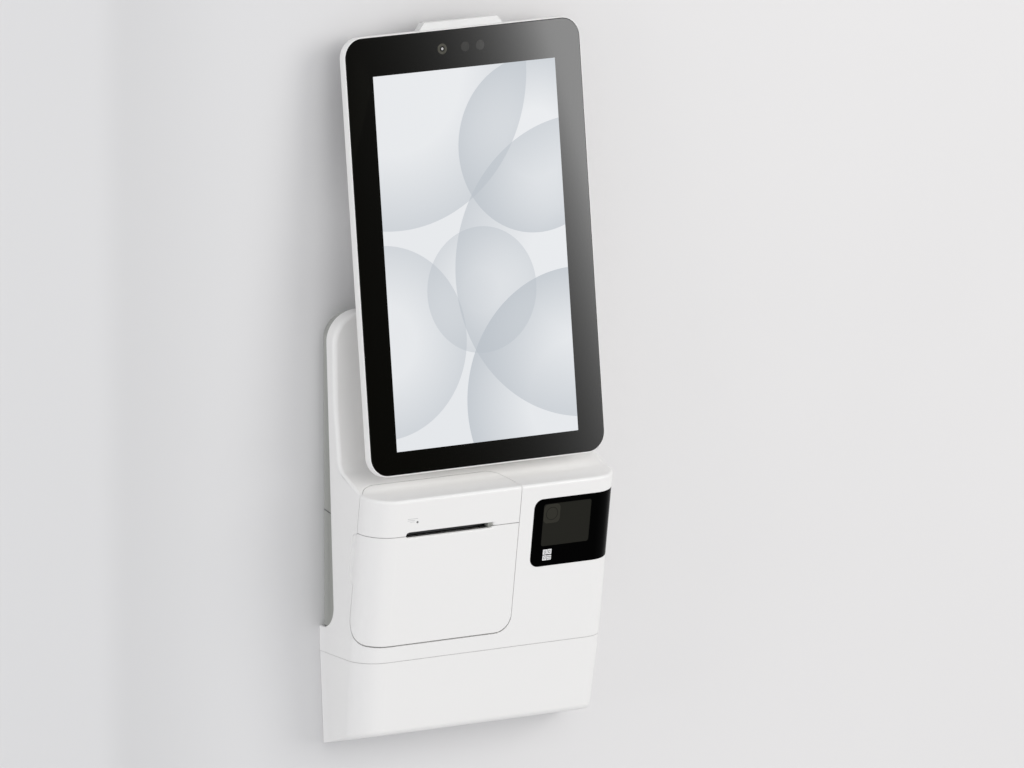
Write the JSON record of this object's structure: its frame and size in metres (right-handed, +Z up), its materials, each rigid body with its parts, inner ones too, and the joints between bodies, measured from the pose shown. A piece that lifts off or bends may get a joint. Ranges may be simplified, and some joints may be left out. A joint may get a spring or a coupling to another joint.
{
  "type": "wall-mounted self-service kiosk",
  "caption": "Wall-mounted self-service kiosk: a tilted portrait touch screen on a neck above a moulded body with a receipt printer behind a drop-down door and a code scanner at the corner",
  "frame": {"origin": "centre of the four wall bolts, on the wall plane", "axes": "+Z up, +Y into the wall, the front faces -Y, +X to the viewer's right"},
  "size_m": [0.264, 0.1028, 0.67],
  "materials": {
    "white_plastic": "satin moulded",
    "grey_plastic": "satin moulded",
    "black_glass": "polished, black printed border",
    "lcd": "smooth",
    "window_black": "polished",
    "steel": "zinc plated",
    "dark_plastic": "moulded",
    "board_green": "solder mask",
    "light_lens": "frosted",
    "rubber": "matte",
    "brass": "machined",
    "gear_plastic": "moulded"
  },
  "bodies": {
    "base": {"tablet_housing": "white_plastic", "cover_glass": "black_glass", "lcd_panel": "lcd", "lcd_frame": "steel", "main_board": "board_green", "sensor_board": "board_green", "camera_module": "dark_plastic", "depth_sensors": "dark_plastic", "status_light_lens": "light_lens", "power_switch": "dark_plastic", "speakers": "dark_plastic", "tablet_bracket": "steel", "bracket_screws": "steel", "neck_shroud": "white_plastic", "body_shell": "white_plastic", "front_cap": "white_plastic", "hinge_pins": "steel", "door_magnet": "dark_plastic", "scanner_window": "window_black", "scanner_frame": "dark_plastic", "scan_engine": "dark_plastic", "indicator_light": "light_lens", "rear_cover_upper": "grey_plastic", "rear_cover_lower": "grey_plastic", "lower_cover": "white_plastic", "chassis_plate": "steel", "wall_plate": "steel", "plate_screws": "steel", "power_adapter": "dark_plastic", "cable_grommet": "rubber", "control_board": "board_green", "printer_frame": "steel", "paper_bucket": "dark_plastic", "print_head": "grey_plastic", "platen_bushes": "brass", "feed_motor": "steel", "fixed_blade": "steel", "cutter_drive": "dark_plastic", "feed_switch_board": "board_green"},
    "door": {"printer_door": "white_plastic", "strike_plate": "steel"},
    "platen": {"platen_shaft": "steel", "platen_sleeve": "rubber", "platen_gear": "gear_plastic"},
    "idler": {"idler_gear": "gear_plastic"},
    "pinion": {"motor_pinion": "brass"},
    "cutter": {"moving_blade": "steel"},
    "feed_key": {"feed_button": "grey_plastic"},
    "power_key": {"power_button": "grey_plastic"}
  },
  "joints": [
    {"name": "door_hinge", "type": "hinge", "parent": "base", "child": "door", "pos_m": [-0.049, -0.06729, -0.168], "axis": [1, 0, 0], "range_deg": [0, 60]},
    {"name": "platen_spin", "type": "hinge", "parent": "base", "child": "platen", "pos_m": [-0.0507, -0.078, -0.062], "axis": [1, 0, 0], "continuous": true},
    {"name": "idler_spin", "type": "hinge", "parent": "base", "child": "idler", "pos_m": [0, -0.06264, -0.07736], "axis": [1, 0, 0], "continuous": true},
    {"name": "pinion_spin", "type": "hinge", "parent": "base", "child": "pinion", "pos_m": [0, -0.04799, -0.0689], "axis": [1, 0, 0], "continuous": true},
    {"name": "cutter_slide", "type": "slide", "parent": "base", "child": "cutter", "axis": [0, 0, 1], "range_m": [0, 0.007]},
    {"name": "feed_press", "type": "slide", "parent": "base", "child": "feed_key", "axis": [0, 1, 0], "range_m": [0, 0.0012], "stiffness_N_per_m": 250},
    {"name": "power_press", "type": "slide", "parent": "base", "child": "power_key", "axis": [-1, 0, 0], "range_m": [0, 0.0008], "stiffness_N_per_m": 250}
  ],
  "couplings": [
    {"joint": "idler_spin", "follows": "platen_spin", "ratio": -0.8},
    {"joint": "pinion_spin", "follows": "platen_spin", "ratio": 2}
  ]
}
